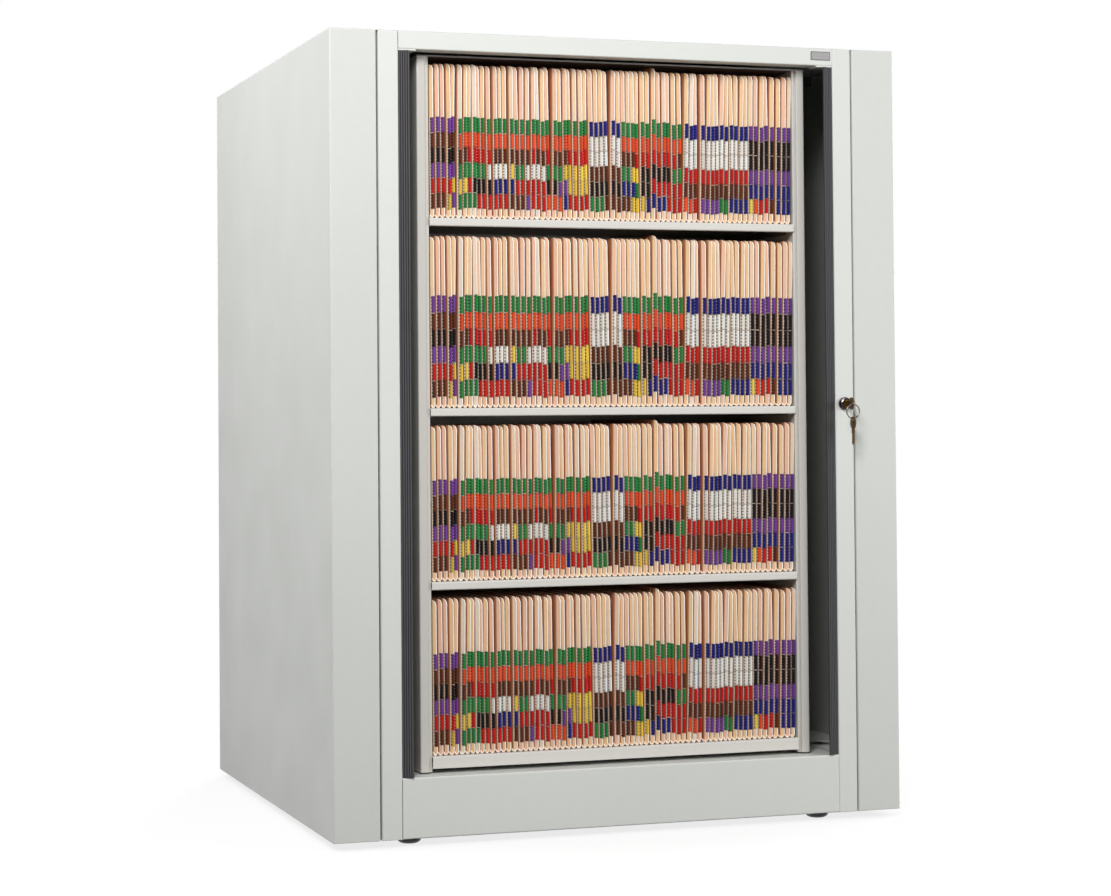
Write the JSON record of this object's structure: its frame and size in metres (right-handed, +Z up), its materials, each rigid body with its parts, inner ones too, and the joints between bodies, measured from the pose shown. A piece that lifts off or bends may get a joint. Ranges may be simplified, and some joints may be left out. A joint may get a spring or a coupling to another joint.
{
  "type": "rotary filing cabinet",
  "caption": "Steel rotary filing cabinet: a box casing with one front opening and a two-sided shelf carousel that turns about a vertical axis, with files, a key lock and levelling feet.",
  "frame": {"origin": "on the floor, at the centre of the whole cabinet's outline with its keys", "axes": "+Z up, -Y out of the front opening, +X to the viewer's right"},
  "size_m": [0.936, 0.9136, 1.236],
  "materials": {
    "casing_paint": "satin",
    "carousel_paint": "satin",
    "frame_steel": "satin",
    "zinc_plate": "satin",
    "nylon": "matte",
    "seal_rubber": "matte",
    "lock_chrome": "gloss",
    "key_brass": "satin",
    "ring_steel": "satin",
    "foot_black": "satin",
    "folder_card": "matte"
  },
  "bodies": {
    "casing": {"base_deck": "casing_paint", "deck_beams": "frame_steel", "foot_nuts": "zinc_plate", "front_header": "casing_paint", "front_plinth": "casing_paint", "front_rail": "frame_steel", "left_base_rail": "frame_steel", "left_front_post": "casing_paint", "left_seal_strip": "seal_rubber", "left_side_panel": "casing_paint", "lock_bar_guides": "frame_steel", "lock_housing": "lock_chrome", "lock_nut": "zinc_plate", "lower_bearing_race": "zinc_plate", "lower_pivot_pin": "zinc_plate", "rear_panel": "casing_paint", "rear_panel_screws": "zinc_plate", "rear_rail": "frame_steel", "right_base_rail": "frame_steel", "right_front_post": "casing_paint", "right_seal_strip": "seal_rubber", "right_side_panel": "casing_paint", "seal_retainers": "casing_paint", "top_cross_beam": "frame_steel", "top_panel": "casing_paint", "upper_pivot_pin": "zinc_plate"},
    "carousel": {"left_end_panel": "carousel_paint", "right_end_panel": "carousel_paint", "left_end_liner": "carousel_paint", "right_end_liner": "carousel_paint", "carousel_base": "carousel_paint", "base_channels": "frame_steel", "turntable_plate": "frame_steel", "centre_panel": "carousel_paint", "front_shelf_1": "carousel_paint", "front_shelf_2": "carousel_paint", "front_shelf_3": "carousel_paint", "rear_shelf_1": "carousel_paint", "rear_shelf_2": "carousel_paint", "rear_shelf_3": "carousel_paint", "shelf_brackets": "frame_steel", "carousel_top": "carousel_paint", "upper_bushing": "nylon", "folders_tier_1": "folder_card", "folders_tier_2": "folder_card", "folders_tier_3": "folder_card", "folders_tier_4": "folder_card"},
    "bearing_cage": {"roller_cage": "nylon", "bearing_rollers": "zinc_plate"},
    "lock_plug": {"lock_plug": "key_brass", "lock_cam": "zinc_plate"},
    "lock_bar": {"lock_bar": "frame_steel"},
    "door_key": {"door_key": "key_brass"},
    "key_ring": {"key_ring": "ring_steel"},
    "spare_key": {"spare_key": "key_brass"},
    "foot_front_left": {"foot_front_left": "foot_black"},
    "foot_front_right": {"foot_front_right": "foot_black"},
    "foot_rear_left": {"foot_rear_left": "foot_black"},
    "foot_rear_right": {"foot_rear_right": "foot_black"}
  },
  "joints": [
    {"name": "carousel_spin", "type": "hinge", "parent": "casing", "child": "carousel", "pos_m": [0, -0.06934, 0.1085], "axis": [0, 0, 1], "continuous": true},
    {"name": "cage_roll", "type": "hinge", "parent": "casing", "child": "bearing_cage", "pos_m": [0, -0.06934, 0.10545], "axis": [0, 0, 1], "continuous": true},
    {"name": "lock_turn", "type": "hinge", "parent": "casing", "child": "lock_plug", "pos_m": [0.377, -0.41534, 0.665], "axis": [0, -1, 0], "range_deg": [0, 90]},
    {"name": "bar_lift", "type": "slide", "parent": "casing", "child": "lock_bar", "axis": [0, 0, 1], "range_m": [0, 0.01698]},
    {"name": "key_pull", "type": "slide", "parent": "lock_plug", "child": "door_key", "axis": [0, -1, 0], "range_m": [0, 0.02]},
    {"name": "ring_swing", "type": "hinge", "parent": "door_key", "child": "key_ring", "pos_m": [0.377, -0.44684, 0.66335], "axis": [-1, 0, 0], "range_deg": [-10, 60]},
    {"name": "spare_swing", "type": "hinge", "parent": "key_ring", "child": "spare_key", "pos_m": [0.377, -0.44684, 0.64135], "axis": [-1, 0, 0], "range_deg": [-10, 45]},
    {"name": "foot_front_left_level", "type": "slide", "parent": "casing", "child": "foot_front_left", "axis": [0, 0, -1], "range_m": [0, 0.015]},
    {"name": "foot_front_right_level", "type": "slide", "parent": "casing", "child": "foot_front_right", "axis": [0, 0, -1], "range_m": [0, 0.015]},
    {"name": "foot_rear_left_level", "type": "slide", "parent": "casing", "child": "foot_rear_left", "axis": [0, 0, -1], "range_m": [0, 0.015]},
    {"name": "foot_rear_right_level", "type": "slide", "parent": "casing", "child": "foot_rear_right", "axis": [0, 0, -1], "range_m": [0, 0.015]}
  ],
  "couplings": [
    {"joint": "cage_roll", "follows": "carousel_spin", "ratio": 0.5},
    {"joint": "bar_lift", "follows": "lock_turn", "m_per_rad": 0.010804}
  ]
}
